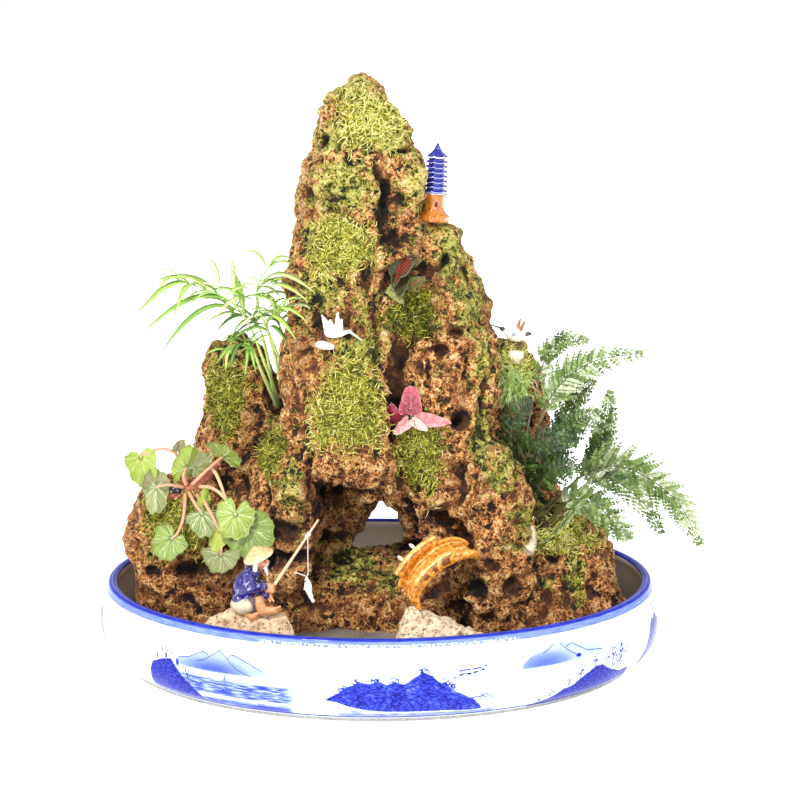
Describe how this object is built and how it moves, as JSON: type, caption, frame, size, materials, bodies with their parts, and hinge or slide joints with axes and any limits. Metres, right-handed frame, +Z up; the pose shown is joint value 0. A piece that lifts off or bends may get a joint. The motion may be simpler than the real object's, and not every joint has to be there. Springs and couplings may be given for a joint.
{
  "type": "tufa rock landscape in a tray",
  "caption": "Porous tufa peak with an arch through its foot, planted and set with glazed miniatures, standing in an oval porcelain water tray.",
  "frame": {"origin": "middle of the tray's flat foot, on the surface that it stands on", "axes": "+X along the tray's long way, to the right seen from the front; +Y from the front to the back; +Z up"},
  "size_m": [0.4253, 0.3352, 0.4085],
  "materials": {
    "porcelain": "white glazed porcelain with a blue underglaze landscape",
    "water": "still water",
    "tufa": "rough porous calcareous rock, greened by algae",
    "pale_tufa": "rough porous pale rock",
    "blue_glaze": "glossy cobalt glaze",
    "amber_glaze": "glossy amber glaze",
    "white_glaze": "off-white painted plaster",
    "bamboo": "bare pale wood",
    "wire": "dark red lacquered wire",
    "thread": "white thread",
    "moss": "soft curled sheet moss",
    "palm_green": "satin leaf",
    "fern_green": "matte leaf",
    "saxifrage_green": "downy leaf",
    "dark_leaf": "satin dark leaf",
    "red_leaf": "satin red leaf",
    "rhizome": "rough stem"
  },
  "bodies": {
    "root": {"tray": "porcelain", "water": "water", "tufa_rock": "tufa", "fisherman_stone": "pale_tufa", "bridge_stone": "pale_tufa", "fisherman": "blue_glaze", "pagoda": "blue_glaze", "fishing_rod": "bamboo", "fishing_line": "thread", "fish": "white_glaze", "bridge": "amber_glaze", "flying_crane_body": "white_glaze", "flying_crane_foot": "white_glaze", "standing_crane_body": "white_glaze", "standing_crane_foot": "white_glaze", "flying_crane_leg": "wire", "standing_crane_leg": "wire", "moss_summit": "moss", "moss_upper_face": "moss", "moss_middle_face": "moss", "moss_valley": "moss", "moss_right_face": "moss", "moss_left_peak": "moss", "moss_palm_foot": "moss", "moss_left_block": "moss", "moss_right_block": "moss", "moss_back_peak": "moss", "palm_frond_long": "palm_green", "palm_frond_tall": "palm_green", "palm_frond_right": "palm_green", "palm_frond_back": "palm_green", "palm_frond_low": "palm_green", "palm_frond_middle": "palm_green", "fern_frond_curl": "fern_green", "fern_frond_top": "fern_green", "fern_frond_middle": "fern_green", "fern_frond_right": "fern_green", "fern_frond_low": "fern_green", "fern_frond_front": "fern_green", "fern_frond_core": "fern_green", "grass_tuft": "palm_green", "fern_rhizome": "rhizome", "saxifrage_rhizome": "rhizome", "saxifrage_leaf_big": "saxifrage_green", "saxifrage_leaf_right": "saxifrage_green", "saxifrage_leaf_front": "saxifrage_green", "saxifrage_leaf_low": "saxifrage_green", "saxifrage_leaf_silver": "saxifrage_green", "saxifrage_leaf_yellow": "saxifrage_green", "saxifrage_leaf_curled": "saxifrage_green", "saxifrage_leaf_back": "saxifrage_green", "saxifrage_leaf_under": "saxifrage_green", "saxifrage_leaf_small": "saxifrage_green", "dark_fittonia_leaf_top": "dark_leaf", "dark_fittonia_leaf_left": "dark_leaf", "dark_fittonia_leaf_right": "dark_leaf", "red_fittonia_leaf_top": "red_leaf", "red_fittonia_leaf_right": "red_leaf", "red_fittonia_leaf_left": "red_leaf"}
  },
  "joints": []
}
